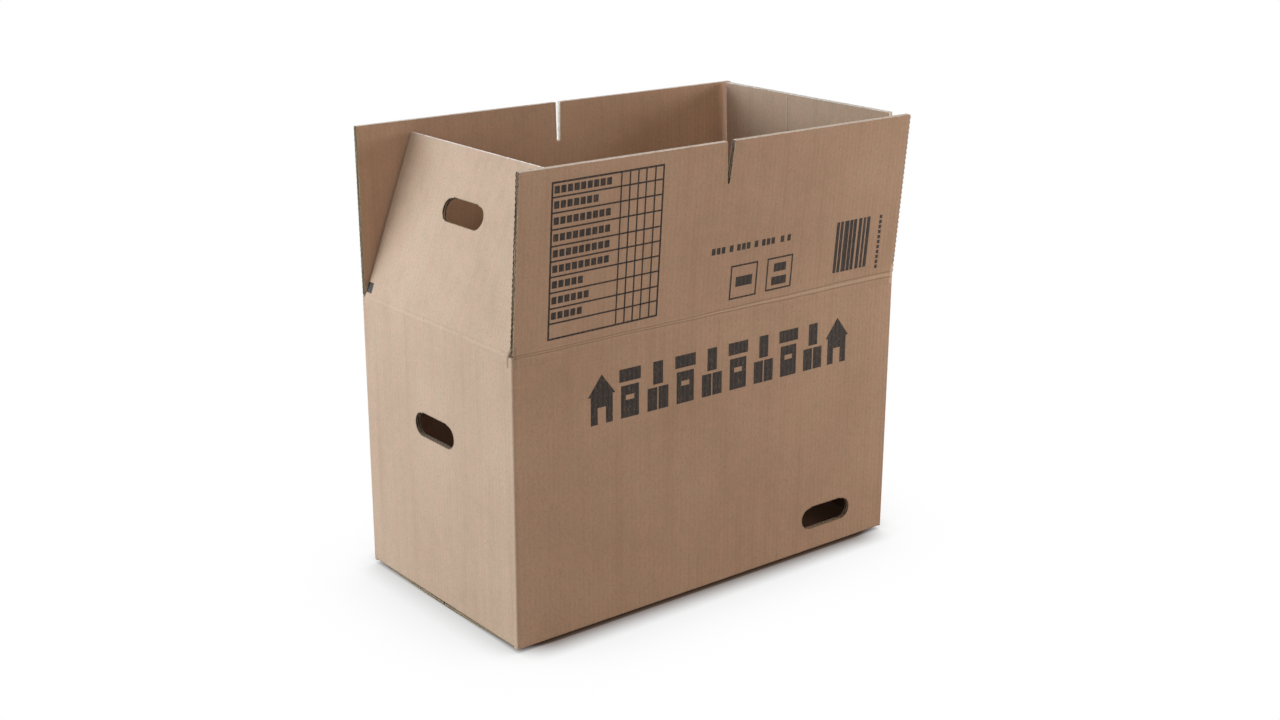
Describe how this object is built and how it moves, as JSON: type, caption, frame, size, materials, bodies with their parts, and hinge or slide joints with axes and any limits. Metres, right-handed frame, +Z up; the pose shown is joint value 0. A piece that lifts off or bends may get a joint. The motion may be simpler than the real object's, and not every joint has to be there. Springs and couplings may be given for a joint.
{
  "type": "moving box",
  "caption": "Open moving box of folded double-wall corrugated board, with hinged top flaps, hand holes and slots to hook the long flaps together.",
  "frame": {"origin": "on the floor, in the middle of the box's outline seen from above with the flaps standing open", "axes": "+X along the long sides towards the right end, +Y from the printed front to the back, +Z up"},
  "size_m": [0.663, 0.3866, 0.6316],
  "materials": {
    "kraft_board": "matt brown kraft liner with faint flute lines",
    "dark_print": "matt dark ink, soaked into the liner"
  },
  "bodies": {
    "carton": {"box_body": "kraft_board"},
    "front_flap": {"front_flap": "kraft_board"},
    "back_flap": {"back_flap": "kraft_board"},
    "left_end_flap": {"left_end_flap": "kraft_board"},
    "right_end_flap": {"right_end_flap": "kraft_board"}
  },
  "joints": [
    {"name": "front_flap_fold", "type": "hinge", "parent": "carton", "child": "front_flap", "pos_m": [0, -0.17327, 0.3985], "axis": [1, 0, 0], "range_deg": [-5, 171]},
    {"name": "back_flap_fold", "type": "hinge", "parent": "carton", "child": "back_flap", "pos_m": [0, 0.19033, 0.3985], "axis": [-1, 0, 0], "range_deg": [-0.8, 175.2]},
    {"name": "left_end_flap_fold", "type": "hinge", "parent": "carton", "child": "left_end_flap", "pos_m": [-0.3247, 0.00853, 0.39525], "axis": [0, -1, 0], "range_deg": [-158.6, 110.6]},
    {"name": "right_end_flap_fold", "type": "hinge", "parent": "carton", "child": "right_end_flap", "pos_m": [0.3247, 0.00853, 0.39525], "axis": [0, 1, 0], "range_deg": [-177.2, 92]}
  ]
}
